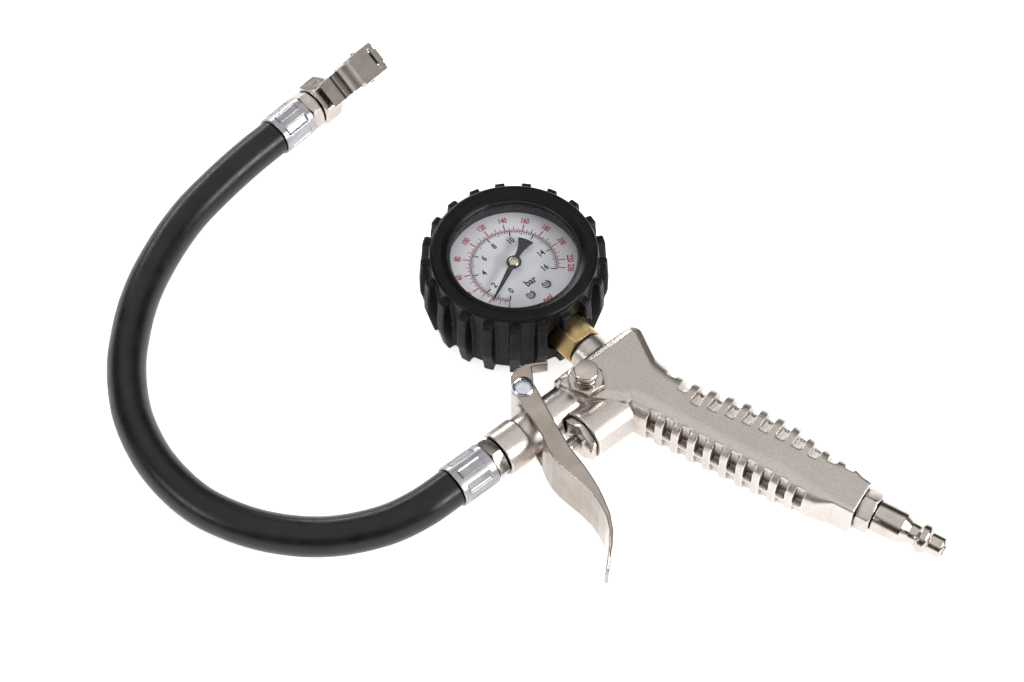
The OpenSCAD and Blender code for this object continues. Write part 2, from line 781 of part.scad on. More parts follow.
module pointer() {
    color("#2A2C30")
    translate([0, 0, pointer_z])
        rotate([0, 0, pointer_rest])
            difference() {
                linear_extrude(pointer_t)
                    polygon(concat([[needle_r, -0.3], [needle_r, 0.3], [3, 1.1]],
                        [for (a = [60:30:150]) hub_r * [cos(a), sin(a)]],
                        [for (p = FAN_SIDE) [-p[0], p[1]]],
                        [for (a = [-0.75:0.25:0.75]) fan_r * [-cos(a * fan_half), -sin(a * fan_half)]],
                        [for (k = [4:-1:0]) [-FAN_SIDE[k][0], -FAN_SIDE[k][1]]],
                        [for (a = [210:30:300]) hub_r * [cos(a), sin(a)]], [[3, -1.1]]));
                translate([0, 0, -eps]) cylinder(r = 0.8, h = 2);
            }
}

module pointer_hub() {
    color(BRASS)
    translate([0, 0, pointer_z + pointer_t])
        cylinder(r1 = 2.3, r2 = 1.8, h = 0.7);
}

// Movement under the dial
plate_low_z = 7.8;
plate_high_z = 18.4;
plate_t = 1.2;
pinion_r = 1.6;
gear_ratio = 7;
sector_r = pinion_r * gear_ratio;
sector_at = [0, pinion_r + sector_r + 0.1];
gear_z = 10;
gear_t = 1.4;
tooth_count = 10;                    // teeth on the pinion
tooth_h = 0.22;

module teeth(r, count, from, to) {
    pitch = 360 / count;
    for (k = [from:to])
        rotate([0, 0, k * pitch])
            linear_extrude(gear_t)
                polygon([[r - 0.5, -r * sin(pitch * 0.19)], [r + tooth_h, -r * sin(pitch * 0.1)],
                         [r + tooth_h, r * sin(pitch * 0.1)], [r - 0.5, r * sin(pitch * 0.19)]]);
}

module pinion_shaft() {
    color(STEEL) {
        translate([0, 0, plate_low_z - 0.6])
            cylinder(r = 0.75, h = pointer_z + pointer_t - plate_low_z + 0.6);
        translate([0, 0, gear_z - 0.3]) cylinder(r = pinion_r - tooth_h, h = gear_t + 0.6);
        translate([0, 0, gear_z])
            rotate([0, 0, 90 + 180 / tooth_count])
                teeth(pinion_r - 0.02, tooth_count, 0, tooth_count - 1);
    }
}

module sector_gear() {
    color(BRASS)
    translate([sector_at[0], sector_at[1], gear_z]) {
        linear_extrude(gear_t)
            polygon(concat([[0, 2], [-2, 0]],
                [for (a = [-136:4:-80]) (sector_r - tooth_h) * [cos(a), sin(a)]], [[2, 0]]));
        rotate([0, 0, -90])
            teeth(sector_r - 0.02, tooth_count * gear_ratio, -9, 2);
        translate([0, 0, plate_low_z - gear_z + plate_t + 0.1])
            cylinder(r = 1.6, h = plate_high_z - plate_low_z - plate_t - 0.2);
        translate([0, 0, plate_low_z - gear_z - 0.4])
            cylinder(r = 0.9, h = plate_high_z - plate_low_z + plate_t + 0.8);
    }
}

module movement_plates() {
    color(BRASS)
    for (z = [plate_low_z, plate_high_z])
        translate([0, 0, z])
            difference() {
                translate([-7, z < mid_z ? -case_r + 5 : -7, 0])
                    cube([14, z < mid_z ? case_r + 12 : 24, plate_t]);
                translate([0, 0, -eps]) cylinder(r = 0.75 + fit, h = 4);
                translate([sector_at[0], sector_at[1], -eps]) cylinder(r = 0.9 + fit, h = 4);
            }
}

module movement_pillars() {
    color(BRASS)
    for (p = [[-5.4, -5.4], [5.4, -5.4], [-5.4, 12], [5.4, 12]])
        translate([p[0], p[1], plate_low_z + plate_t])
            cylinder(r = 1.1, h = plate_high_z - plate_low_z - plate_t);
}

module hair_spring() {
    points = [for (a = [0:30:1080]) let (r = 1.2 + a / 1080 * 2.4) [r * cos(a), r * sin(a), 14]];
    color(STEEL)
        sweep(points, 0.12, 4);
}

tube_r = case_in_r - 5.6;

module bourdon_tube() {
    color(BRASS)
    translate([0, 0, mid_z - 3])
        rotate([0, 0, -80])
            rotate_extrude(angle = 250)
                translate([tube_r, 3, 0])
                    square([1.8, 6], center = true);
}

module bourdon_tip() {
    color(BRASS)
    rotate([0, 0, 170])
        translate([tube_r - 1.4, eps, mid_z - 3.2])
            cube([2.8, 2.4, 6.4]);
}

// Brass stem: block inside the case, hexagon outside, spigot in the gun's port
stem_hex_y = -case_r - 2.6;
stem_hex_end_y = boss_y1 + 1;

module gauge_stem() {
    color(BRASS)
    difference() {
        union() {
            translate([0, stem_hex_y, mid_z])
                rotate([90, 0, 0])
                    hex_prism(stem_af, stem_hex_y - stem_hex_end_y);
            translate([0, -case_r + 5, mid_z])
                rotate([90, 0, 0])
                    cylinder(r = 6, h = 4 - stem_hex_end_y - case_r);
            translate([-6, -case_r + 3, mid_z - 6]) cube([12, 6, 11]);
            translate([0, stem_hex_end_y + eps, mid_z])
                rotate([90, 0, 0])
                    cylinder(r = port_r - 0.02, h = port_depth - 1);
        }
        translate([0, -case_r + 6, mid_z]) rotate([90, 0, 0]) cylinder(r = 1.5, h = 60);
    }
}

module stem_washer() {
    color(RUBBER)
    translate([0, stem_hex_end_y, mid_z])
        rotate([90, 0, 0])
            tube(stem_af / 2 - 1, port_r + seat, 1);
}

// ---------- hose and its fittings ----------

module ferrule_body() {
    dents = 8;
    difference() {
        cylinder(r = ferrule_r, h = ferrule_l);
        translate([0, 0, -eps]) cylinder(r = hose_bore_r, h = ferrule_l + 2 * eps);
        // swaged flats between the two end bands
        for (k = [0:dents - 1])
            rotate([0, 0, k * 360 / dents])
                translate([ferrule_r - 0.7, -1.7, 2.6])
                    cube([3, 3.4, ferrule_l - 5.6]);
    }
}

// Nut, groove and barb of a hose fitting, its nut's end face at z = 0 and the hose towards -Z
module hose_fitting(thread_r, thread_l) {
    difference() {
        union() {
            translate([0, 0, -nut_l]) hex_prism(hose_nut_af, nut_l);
            translate([0, 0, -eps]) cylinder(r = thread_r, h = thread_l);
            translate([0, 0, -nut_l - ferrule_l + 2])
                cylinder(r = hose_bore_r - 0.02, h = ferrule_l - 2 + eps);
        }
        translate([0, 0, -40]) cylinder(r = 2.2, h = 80);
    }
}

module gun_ferrule() {
    color(ALUMINIUM)
    along_x(gun_ferrule_x0) rotate([0, 0, 12]) ferrule_body();
}

module gun_hose_fitting() {
    color(NICKEL)
    along_x(gun_nut_x0 + nut_l) rotate([0, 0, 18]) hose_fitting(5.5, 8);
}

module chuck_ferrule() {
    color(ALUMINIUM)
    on_chuck() translate([-ferrule_l, 0, 0]) chuck_turned() rotate([0, 0, 10]) ferrule_body();
}

module chuck_hose_fitting() {
    color(NICKEL)
    on_chuck() translate([nut_l, 0, 0]) chuck_turned() rotate([0, 0, 12]) hose_fitting(chuck_thread_r, 8);
}

module hose() {
    chuck_dir = [cos(chuck_yaw), sin(chuck_yaw), 0];
    hose_end = chuck_at - ferrule_l * chuck_dir;
    color(RUBBER)
        sweep(concat([hose_exit], hose_route, [hose_end]), hose_r, hose_sides, [-1, 0, 0], chuck_dir);
}

// ---------- chuck ----------

module chuck_body() {
    color(NICKEL)
    on_chuck()
    difference() {
        union() {
            translate([chuck_hex_s0, 0, 0])
                chuck_turned()
                    rotate([0, 0, 30])
                        hex_prism(chuck_af, chuck_hex_s1 - chuck_hex_s0);
            translate([chuck_hex_s1 - eps, 0, 0])
                chuck_turned()
                    cylinder(r1 = chuck_af / 2 - 0.2, r2 = neck_r, h = 5);
            translate([chuck_hex_s1, 0, 0])
                chuck_turned()
                    cylinder(r = neck_r, h = mouth_s0 - chuck_hex_s1);
            translate([mouth_s0 - eps, 0, 0])
                chuck_turned()
                    cylinder(r = mouth_out_r, h = mouth_s1 - mouth_s0);
            // lug for the clip's pin
            translate([clip_pin_at[0] - 2.6, -4.2, 0])
                cube([5.2, 8.4, clip_pin_at[1] + 1.6]);
            // three lobes round the mouth
            for (a = [32, 148, 270])
                rotate([a, 0, 0])
                    translate([mouth_s1 - 2, mouth_r + seat + lobe_r, 0])
                        chuck_turned() {
                            cylinder(r = lobe_r, h = 5);
                            translate([0, 0, 5]) sphere(r = lobe_r);
                        }
        }
        // bore for the tyre valve, then the seal's seat and the air passage
        translate([28, 0, 0]) chuck_turned() cylinder(r = mouth_r, h = 30);
        translate([25, 0, 0]) chuck_turned() cylinder(r = seal_r, h = 3.4);
        translate([chuck_hex_s0 - 1, 0, 0]) chuck_turned() cylinder(r = 1.9, h = 30);
        translate([chuck_hex_s0 - 1, 0, 0]) chuck_turned() cylinder(r = chuck_thread_r + 0.02, h = 9);
        translate([clip_pin_at[0], 10, clip_pin_at[1]])
            rotate([90, 0, 0])
                cylinder(r = clip_pin_d / 2, h = 20);
    }
}

// Side view of the clip's sheet, thumb pad to front lip, as its top face: a smooth dip between the
// pad's end and the head
pad_h = 11.8;
dip_h = 8.5;
pad_s1 = 13.8;
dip_s = 20.4;
head_s0 = 26;
function swing(from, to, u) = from + (to - from) * (1 - cos(180 * u)) / 2;
CLIP_TOP = concat(
    [[8.6, pad_h + 0.1]],
    [for (k = [0:9]) let (u = k / 10) [pad_s1 + (dip_s - pad_s1) * u, swing(pad_h, dip_h, u)]],
    [for (k = [0:10]) let (u = k / 10) [dip_s + (head_s0 - dip_s) * u, swing(dip_h, clip_h, u)]],
    [[38.6, clip_h]]);

module chuck_clip() {
    color(NICKEL)
    on_chuck()
    difference() {
        union() {
            // pad, dip and head, one sheet
            translate([0, clip_w / 2, 0])
                rotate([90, 0, 0])
                    linear_extrude(clip_w)
                        polygon(concat(CLIP_TOP,
                            [for (k = [len(CLIP_TOP) - 1:-1:0]) CLIP_TOP[k] - [0, clip_t]]));
            // wider head with its two cheeks
            translate([26.2, -clip_head_w / 2, clip_h - clip_t]) cube([12.4, clip_head_w, clip_t]);
            for (y = [-clip_head_w / 2, clip_head_w / 2 - clip_t])
                translate([26.2, y, clip_pin_at[1] - 2.2])
                    cube([9.6, clip_t, clip_h - clip_pin_at[1] + 2.2]);
            // lip that catches the valve's thread
            translate([mouth_s1 + 0.4, -3, mouth_r + 0.3])
                cube([clip_t, 6, clip_h - mouth_r - 0.3]);
            translate([mouth_s1 - 0.4, -3, clip_h - clip_t])
                cube([1.8, 6, clip_t]);
        }
        // slot behind the lip
        translate([35.6, -4.4, clip_h - 2]) cube([1, 8.8, 4]);
        translate([clip_pin_at[0], 10, clip_pin_at[1]])
            rotate([90, 0, 0])
                cylinder(r = clip_pin_d / 2 + fit, h = 20);
    }
}

module clip_pin() {
    color(STEEL)
    on_chuck()
    translate([clip_pin_at[0], clip_head_w / 2 + 0.6, clip_pin_at[1]])
        rotate([90, 0, 0])
            cylinder(r = clip_pin_d / 2, h = clip_head_w + 1.2);
}

module clip_spring() {
    color(STEEL)
    on_chuck()
    translate([spring_s, 0, neck_r + 0.05])
        coil(1.6, 0.4, 2.2, 3);
}

module chuck_seal() {
    color(RUBBER)
    on_chuck() translate([25.1, 0, 0]) chuck_turned() tube(seal_r - 0.02, 2, 3);
}

module core_depressor() {
    color(BRASS)
    on_chuck() translate([20, 0, 0]) chuck_turned() {
        cylinder(r = 1.2, h = 8.2);
        cylinder(r = 1.85, h = 2);
    }
}

gun_body();
trigger_lever();
lever_pivot_pin();
valve_gland_nut();
valve_stem();
stem_o_ring();
valve_seat();
valve_poppet();
poppet_seal();
poppet_spring();
bleed_valve_body();
bleed_button();
bleed_seal();
bleed_spring();
inlet_plug();
gauge_boot();
gauge_case();
gauge_bezel();
gauge_lens();
dial_plate();
dial_screws();
pointer();
pointer_hub();
pinion_shaft();
sector_gear();
movement_plates();
movement_pillars();
hair_spring();
bourdon_tube();
bourdon_tip();
gauge_stem();
stem_washer();
hose();
gun_ferrule();
gun_hose_fitting();
chuck_ferrule();
chuck_hose_fitting();
chuck_body();
chuck_clip();
clip_pin();
clip_spring();
chuck_seal();
core_depressor();
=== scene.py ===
"""Looks of the tyre inflator: casting, pressed lever, gauge in its rubber boot, hose and clip-on chuck."""

import json
import math

import bmesh
import bpy
from mathutils import Matrix, Vector


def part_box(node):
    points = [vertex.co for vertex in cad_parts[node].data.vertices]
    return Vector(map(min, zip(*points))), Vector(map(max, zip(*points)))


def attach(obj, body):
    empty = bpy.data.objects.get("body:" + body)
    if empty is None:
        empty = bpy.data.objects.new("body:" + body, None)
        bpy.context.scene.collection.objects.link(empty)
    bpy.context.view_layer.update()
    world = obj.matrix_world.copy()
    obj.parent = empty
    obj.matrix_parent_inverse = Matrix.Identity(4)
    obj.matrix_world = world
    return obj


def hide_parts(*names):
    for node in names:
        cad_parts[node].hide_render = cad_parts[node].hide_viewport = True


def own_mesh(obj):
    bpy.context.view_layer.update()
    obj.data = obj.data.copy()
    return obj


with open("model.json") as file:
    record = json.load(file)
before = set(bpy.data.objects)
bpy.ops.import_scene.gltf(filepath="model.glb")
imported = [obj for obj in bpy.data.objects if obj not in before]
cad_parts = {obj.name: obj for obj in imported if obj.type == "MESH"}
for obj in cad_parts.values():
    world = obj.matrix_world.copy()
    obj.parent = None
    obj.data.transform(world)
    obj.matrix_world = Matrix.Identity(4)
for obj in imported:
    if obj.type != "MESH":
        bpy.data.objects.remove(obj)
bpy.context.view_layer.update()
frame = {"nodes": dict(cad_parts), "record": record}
NODES = frame["nodes"]
MM = 0.001


# ---------- camera and hose ----------

CAMERA_AT = Vector((-0.3628, -0.4312, 0.7998))
CAMERA_LOOK = Vector((0.3620, 0.4314, -0.8264))
LENS_MM = 87.67

HOSE_D = 0.015
HOSE_SIDES = 48
CURVE_STEPS = 6
HOSE_EXIT = Vector((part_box("gun_ferrule")[0].x, -0.0571, 0.015))
HOSE_ROUTE = [
    (-0.090, -0.0565, 0.014), (-0.102, -0.0535, 0.012), (-0.113, -0.048, 0.010),
    (-0.123, -0.041, 0.0084), (-0.132, -0.0325, 0.0077), (-0.140, -0.0225, 0.00755),
    (-0.146, -0.012, 0.00755), (-0.1505, -0.0005, 0.00755), (-0.1525, 0.012, 0.00755),
    (-0.1525, 0.025, 0.00755), (-0.1505, 0.037, 0.00755), (-0.147, 0.0485, 0.00755),
    (-0.1415, 0.0595, 0.00755), (-0.1345, 0.070, 0.00755), (-0.126, 0.0795, 0.00755),
    (-0.117, 0.088, 0.00755), (-0.107, 0.0955, 0.00755), (-0.096, 0.102, 0.00755),
    (-0.085, 0.1075, 0.00755), (-0.0735, 0.112, 0.00755), (-0.062, 0.115, 0.0077),
    (-0.050, 0.1173, 0.0083), (-0.038, 0.1189, 0.0091),
]
CHUCK_YAW = math.radians(7.5)
CHUCK_AT = Vector((-0.0102, 0.1221, 0.009684))
CHUCK_DIR = Vector((math.cos(CHUCK_YAW), math.sin(CHUCK_YAW), 0))
FERRULE_L = 0.016


def make_camera():
    data = bpy.data.cameras.new("camera")
    data.lens = LENS_MM
    data.sensor_width = 36
    data.clip_start = 0.01
    cam = bpy.data.objects.new("camera", data)
    cam.location = CAMERA_AT
    cam.rotation_euler = CAMERA_LOOK.to_track_quat("-Z", "Y").to_euler()
    bpy.context.scene.collection.objects.link(cam)
    bpy.context.scene.camera = cam


def link(name, mesh):
    obj = bpy.data.objects.new(name, mesh)
    bpy.context.scene.collection.objects.link(obj)
    return obj


def smooth_line(points, steps):
    """Catmull-Rom curve through the points, with steps pieces between each two."""
    ends = [2 * points[0] - points[1]] + points + [2 * points[-1] - points[-2]]
    line = []
    for a, b, c, d in zip(ends, ends[1:], ends[2:], ends[3:]):
        for k in range(steps):
            t = k / steps
            line.append(0.5 * (2 * b + (c - a) * t + (2 * a - 5 * b + 4 * c - d) * t ** 2
                               + (3 * b - a - 3 * c + d) * t ** 3))
    return line + [points[-1].copy()]


def swept_tube(name, line, radius, sides):
    """Closed round tube along a line."""
    bm = bmesh.new()
    rings = []
    for k, p in enumerate(line):
        along = (line[min(k + 1, len(line) - 1)] - line[max(k - 1, 0)]).normalized()
        across = Vector((0, 0, 1)).cross(along).normalized()
        up = along.cross(across)
        rings.append([bm.verts.new(p + radius * (math.cos(a) * across + math.sin(a) * up))
                      for a in (2 * math.pi * j / sides for j in range(sides))])
    for a, b in zip(rings, rings[1:]):
        for j in range(sides):
            bm.faces.new((a[j], a[(j + 1) % sides], b[(j + 1) % sides], b[j]))
    bm.faces.new(list(reversed(rings[0])))
    bm.faces.new(rings[-1])
    bmesh.ops.recalc_face_normals(bm, faces=bm.faces)
    mesh = bpy.data.meshes.new(name)
    bm.to_mesh(mesh)
    bm.free()
    mesh.shade_smooth()
    mesh.set_sharp_from_angle(angle=math.radians(50))
    return link(name, mesh)


def make_hose():
    end = CHUCK_AT - FERRULE_L * CHUCK_DIR
    line = smooth_line([HOSE_EXIT] + [Vector(p) for p in HOSE_ROUTE] + [end], CURVE_STEPS)
    obj = swept_tube("hose_skin", line, HOSE_D / 2, HOSE_SIDES)
    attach(obj, "gun")
    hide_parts("hose")
    return obj, line


make_camera()
hose_skin, hose_line = make_hose()


# ---------- materials ----------

class Paint:
    """One Principled material, with short calls for its texture nodes."""

    def __init__(self, name, base, rough, metallic=0.0, specular=0.5):
        self.m = bpy.data.materials.new(name)
        self.m.use_nodes = True
        self.nt = self.m.node_tree
        self.bsdf = self.nt.nodes["Principled BSDF"]
        self.bsdf.inputs["Base Color"].default_value = (*base, 1)
        self.bsdf.inputs["Roughness"].default_value = rough
        self.bsdf.inputs["Metallic"].default_value = metallic
        self.bsdf.inputs["Specular IOR Level"].default_value = specular
        self.where = self.nt.nodes.new("ShaderNodeTexCoord").outputs["Object"]
        self.heights = []

    def node(self, kind, **values):
        n = self.nt.nodes.new(kind)
        for key, value in values.items():
            setattr(n, key, value)
        return n

    def join(self, a, b):
        self.nt.links.new(a, b)

    def noise(self, size_mm, detail=3.0, roughness=0.55, stretch=(1, 1, 1), turn=(0, 0, 0)):
        """Noise whose features are about size_mm across, drawn out along the axes by stretch."""
        mapping = self.node("ShaderNodeMapping")
        mapping.inputs["Scale"].default_value = [1 / (size_mm * MM * s) for s in stretch]
        mapping.inputs["Rotation"].default_value = turn
        self.join(self.where, mapping.inputs["Vector"])
        n = self.node("ShaderNodeTexNoise")
        n.inputs["Scale"].default_value = 1.0
        n.inputs["Detail"].default_value = detail
        n.inputs["Roughness"].default_value = roughness
        self.join(mapping.outputs["Vector"], n.inputs["Vector"])
        return n.outputs["Fac"]

    def edges(self, low=0.47, high=0.56):
        """0 in hollows, 1 on sharp edges, on a dense mesh."""
        spread = self.node("ShaderNodeMapRange")
        spread.inputs["From Min"].default_value = low
        spread.inputs["From Max"].default_value = high
        self.join(self.node("ShaderNodeNewGeometry").outputs["Pointiness"], spread.inputs["Value"])
        return spread.outputs["Result"]

    def height(self, low, high):
        """0 to 1 between two heights in metres, in the piece's own frame."""
        axes = self.node("ShaderNodeSeparateXYZ")
        self.join(self.where, axes.inputs["Vector"])
        spread = self.node("ShaderNodeMapRange")
        spread.inputs["From Min"].default_value = low
        spread.inputs["From Max"].default_value = high
        self.join(axes.outputs["Z"], spread.inputs["Value"])
        return spread.outputs["Result"]

    def open_sky(self, reach_mm):
        """0 deep inside hollows narrower than reach_mm, 1 on open faces."""
        ao = self.node("ShaderNodeAmbientOcclusion", samples=8)
        ao.inputs["Distance"].default_value = reach_mm * MM
        return ao.outputs["AO"]

    def ramp(self, fac, stops):
        """Colour ramp from (place, colour) stops."""
        r = self.node("ShaderNodeValToRGB")
        line = r.color_ramp
        while len(line.elements) < len(stops):
            line.elements.new(0.5)
        for e, (place, colour) in zip(line.elements, stops):
            e.position = place
            e.color = (*colour, 1)
        self.join(fac, r.inputs["Fac"])
        return r.outputs["Color"]

    def blend(self, fac, a, b, kind="MIX"):
        mix = self.node("ShaderNodeMix", data_type="RGBA", blend_type=kind)
        for socket, value in ((mix.inputs[0], fac), (mix.inputs[6], a), (mix.inputs[7], b)):
            if isinstance(value, (int, float)):
                socket.default_value = value
            elif isinstance(value, tuple):
                socket.default_value = (*value, 1)
            else:
                self.join(value, socket)
        return mix.outputs[2]

    def spread(self, fac, low, high):
        n = self.node("ShaderNodeMapRange")
        n.inputs["From Min"].default_value = 0.3
        n.inputs["From Max"].default_value = 0.7
        n.inputs["To Min"].default_value = low
        n.inputs["To Max"].default_value = high
        self.join(fac, n.inputs["Value"])
        return n.outputs["Result"]

    def colour(self, socket):
        self.join(socket, self.bsdf.inputs["Base Color"])

    def rough(self, socket):
        self.join(socket, self.bsdf.inputs["Roughness"])

    def bump(self, fac, depth_mm, strength=1.0):
        b = self.node("ShaderNodeBump")
        b.inputs["Strength"].default_value = strength
        b.inputs["Distance"].default_value = depth_mm * MM
        self.join(fac, b.inputs["Height"])
        if self.heights:
            self.join(self.heights[-1], b.inputs["Normal"])
        self.heights.append(b.outputs["Normal"])
        self.join(b.outputs["Normal"], self.bsdf.inputs["Normal"])


def cast_nickel():
    """Satin nickel over a sand-grained zinc casting: brighter, smoother edges, and painted shade that
    darkens its hollows to brown.
    """
    p = Paint("cast_nickel", (0.52, 0.485, 0.455), 0.34, metallic=1.0)
    cloud = p.ramp(p.noise(14), [(0.3, (0.505, 0.448, 0.412)), (0.7, (0.565, 0.508, 0.472))])
    grain = p.ramp(p.noise(0.7, detail=2, roughness=0.7),
                   [(0.35, (0.80, 0.79, 0.78)), (0.65, (1.12, 1.12, 1.13))])
    cloud = p.blend(1.0, cloud, grain, "MULTIPLY")
    toned = p.blend(p.edges(0.47, 0.56), cloud, (0.78, 0.75, 0.72))
    # painted shade: ambient occlusion darkens the hollows to a brown near-black
    painted_shade = p.ramp(p.open_sky(3.2), [(0.30, (0.30, 0.235, 0.175)), (0.72, (1, 1, 1))])
    p.colour(p.blend(1.0, toned, painted_shade, "MULTIPLY"))
    p.rough(p.spread(p.noise(0.9, detail=4), 0.26, 0.40))
    p.bump(p.noise(0.75, detail=3, roughness=0.7), 0.07, 1.0)
    p.bump(p.noise(3.5, detail=2), 0.06, 0.35)
    return p.m


def polished_nickel():
    """Bright nickel plate with faint polishing lines and water marks, and painted shade in its hollows."""
    p = Paint("polished_nickel", (0.60, 0.56, 0.52), 0.17, metallic=1.0)
    clean = p.ramp(p.noise(5), [(0.3, (0.52, 0.465, 0.425)), (0.7, (0.62, 0.57, 0.53))])
    # painted shade: ambient occlusion darkens the hollows nearly to black
    painted_shade = p.ramp(p.open_sky(2.0), [(0.35, (0.14, 0.11, 0.08)), (0.80, (1, 1, 1))])
    p.colour(p.blend(1.0, clean, painted_shade, "MULTIPLY"))
    p.rough(p.spread(p.noise(2.2, detail=5), 0.11, 0.25))
    p.bump(p.noise(0.3, stretch=(1, 1, 14)), 0.004, 0.5)
    p.bump(p.noise(2.5, detail=2), 0.02, 0.4)
    return p.m


def pressed_nickel():
    """The lever: rolled sheet, satin nickel, with the drawing lines of the press along it and a painted
    highlight along its folds.
    """
    p = Paint("pressed_nickel", (0.40, 0.36, 0.33), 0.20, metallic=1.0)
    cloud = p.ramp(p.noise(9), [(0.3, (0.37, 0.318, 0.275)), (0.7, (0.48, 0.425, 0.385))])
    # painted highlight: the sharp fold edges are lightened to a pale line
    p.colour(p.blend(p.edges(0.53, 0.60), cloud, (0.80, 0.78, 0.75)))
    p.rough(p.spread(p.noise(0.35, stretch=(1, 26, 1), detail=4), 0.12, 0.24))
    p.bump(p.noise(0.25, stretch=(1, 30, 1)), 0.006, 0.5)
    p.bump(p.noise(4, detail=2), 0.05, 0.5)
    return p.m


def bright_steel():
    """Turned and drawn steel: pins, springs, wheels of the movement."""
    p = Paint("bright_steel", (0.72, 0.72, 0.73), 0.22, metallic=1.0)
    p.rough(p.spread(p.noise(0.8, detail=4), 0.15, 0.30))
    p.bump(p.noise(0.25, stretch=(1, 1, 8)), 0.004, 0.6)
    return p.m


def grey_steel():
    """Domed screws of the dial."""
    p = Paint("grey_steel", (0.36, 0.36, 0.37), 0.28, metallic=1.0)
    p.rough(p.spread(p.noise(0.6, detail=3), 0.22, 0.36))
    p.bump(p.noise(0.3, detail=2), 0.004, 0.5)
    return p.m


def zinc_rivet():
    """Pale zinc plate of the lever's rivet."""
    p = Paint("zinc_rivet", (0.70, 0.74, 0.82), 0.20, metallic=1.0)
    p.rough(p.spread(p.noise(1.1, detail=5), 0.12, 0.32))
    p.bump(p.noise(0.9, detail=3), 0.02, 0.5)
    return p.m


def turned_brass():
    """Dull turned brass, browned by handling, bright where the flats were cut."""
    p = Paint("turned_brass", (0.42, 0.29, 0.12), 0.30, metallic=1.0)
    age = p.ramp(p.noise(3.2, detail=5), [(0.28, (0.22, 0.120, 0.042)), (0.5, (0.36, 0.215, 0.080)),
                                          (0.75, (0.50, 0.34, 0.13))])
    p.colour(p.blend(p.edges(0.49, 0.56), age, (0.74, 0.58, 0.30)))
    p.rough(p.spread(p.noise(1.0, detail=4), 0.26, 0.46))
    p.bump(p.noise(0.22, stretch=(1, 12, 1)), 0.008, 0.6)
    return p.m


def moulded_rubber():
    """The boot: matt black rubber, glossier on the smooth front rim, a little paler at its edges."""
    p = Paint("moulded_rubber", (0.004, 0.004, 0.005), 0.5, specular=0.16)
    body = p.ramp(p.noise(6, detail=5), [(0.3, (0.003, 0.003, 0.0036)), (0.75, (0.008, 0.008, 0.009))])
    p.colour(p.blend(p.edges(0.50, 0.60), body, (0.016, 0.016, 0.018)))
    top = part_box("gauge_boot")[1].z
    matt = p.spread(p.noise(1.2, detail=4), 0.42, 0.58)
    rim = p.height(top - 3.5 * MM, top - 1.2 * MM)
    p.rough(p.blend(rim, matt, (0.26, 0.26, 0.26)))
    p.bump(p.noise(0.5, detail=3), 0.02, 0.5)
    return p.m


def hose_rubber():
    """Extruded hose: satin black with a faint cloth print and dust."""
    p = Paint("hose_rubber", (0.005, 0.005, 0.006), 0.36, specular=0.40)
    p.colour(p.ramp(p.noise(12, detail=6),
                    [(0.35, (0.0035, 0.0035, 0.0045)), (0.8, (0.012, 0.012, 0.014))]))
    p.rough(p.spread(p.noise(4, detail=5), 0.27, 0.40))
    p.bump(p.noise(0.8, detail=4), 0.012, 0.5)
    p.bump(p.noise(7, detail=2), 0.06, 0.4)
    return p.m


def seal_rubber():
    """Dull black rings and seats."""
    p = Paint("seal_rubber", (0.02, 0.02, 0.02), 0.5)
    p.rough(p.spread(p.noise(0.7), 0.42, 0.6))
    p.bump(p.noise(0.4), 0.01, 0.5)
    return p.m


def black_lacquer():
    """Case and snap ring: black stove enamel."""
    p = Paint("black_lacquer", (0.012, 0.012, 0.013), 0.22, specular=0.5)
    p.rough(p.spread(p.noise(3, detail=4), 0.16, 0.30))
    p.bump(p.noise(1.4, detail=2), 0.01, 0.5)
    return p.m


def swaged_aluminium():
    """Ferrules: bright soft aluminium with die marks along them, and painted shade in their grooves."""
    p = Paint("swaged_aluminium", (0.44, 0.44, 0.47), 0.20, metallic=1.0)
    clean = p.ramp(p.noise(3, detail=5), [(0.3, (0.36, 0.355, 0.375)), (0.7, (0.50, 0.495, 0.52))])
    # painted shade: ambient occlusion darkens the grooves and recesses
    painted_shade = p.ramp(p.open_sky(1.6), [(0.45, (0.22, 0.21, 0.22)), (0.85, (1, 1, 1))])
    p.colour(p.blend(1.0, clean, painted_shade, "MULTIPLY"))
    p.rough(p.spread(p.noise(0.5, stretch=(14, 1, 1), detail=4), 0.27, 0.40))
    p.bump(p.noise(0.3, stretch=(18, 1, 1)), 0.006, 0.5)
    return p.m


def clear_lens():
    """Thin clear window: mostly see-through, with a sharp shine."""
    p = Paint("clear_lens", (0.10, 0.11, 0.13), 0.04, specular=0.8)
    p.bsdf.inputs["Alpha"].default_value = 0.07
    p.rough(p.spread(p.noise(8, detail=4), 0.02, 0.07))
    return p.m


def dial_white():
    """Bluish white enamel of the dial."""
    p = Paint("dial_white", (0.90, 0.90, 0.96), 0.38)
    p.colour(p.ramp(p.noise(9, detail=3), [(0.3, (0.88, 0.88, 0.95)), (0.7, (0.93, 0.93, 0.98))]))
    p.rough(p.spread(p.noise(0.6, detail=3), 0.32, 0.44))
    p.bump(p.noise(0.35), 0.003, 0.4)
    return p.m


def pale_gold():
    """Cap on the pointer's hub."""
    p = Paint("pale_gold", (0.78, 0.70, 0.54), 0.26, metallic=1.0)
    p.rough(p.spread(p.noise(0.8, detail=3), 0.20, 0.34))
    p.bump(p.noise(0.3, detail=2), 0.004, 0.5)
    return p.m


def print_ink(name, dark, light):
    """Screen-printed ink, a little uneven."""
    p = Paint(name, dark, 0.45)
    p.colour(p.ramp(p.noise(0.6, detail=3), [(0.35, dark), (0.75, light)]))
    p.bump(p.noise(0.15), 0.002, 0.4)
    return p.m


def pointer_grey():
    """Dark lacquer of the pointer."""
    p = Paint("pointer_grey", (0.022, 0.023, 0.028), 0.34)
    p.colour(p.ramp(p.noise(2.5, detail=4),
                    [(0.3, (0.016, 0.017, 0.021)), (0.7, (0.034, 0.036, 0.043))]))
    p.rough(p.spread(p.noise(0.7), 0.30, 0.44))
    return p.m


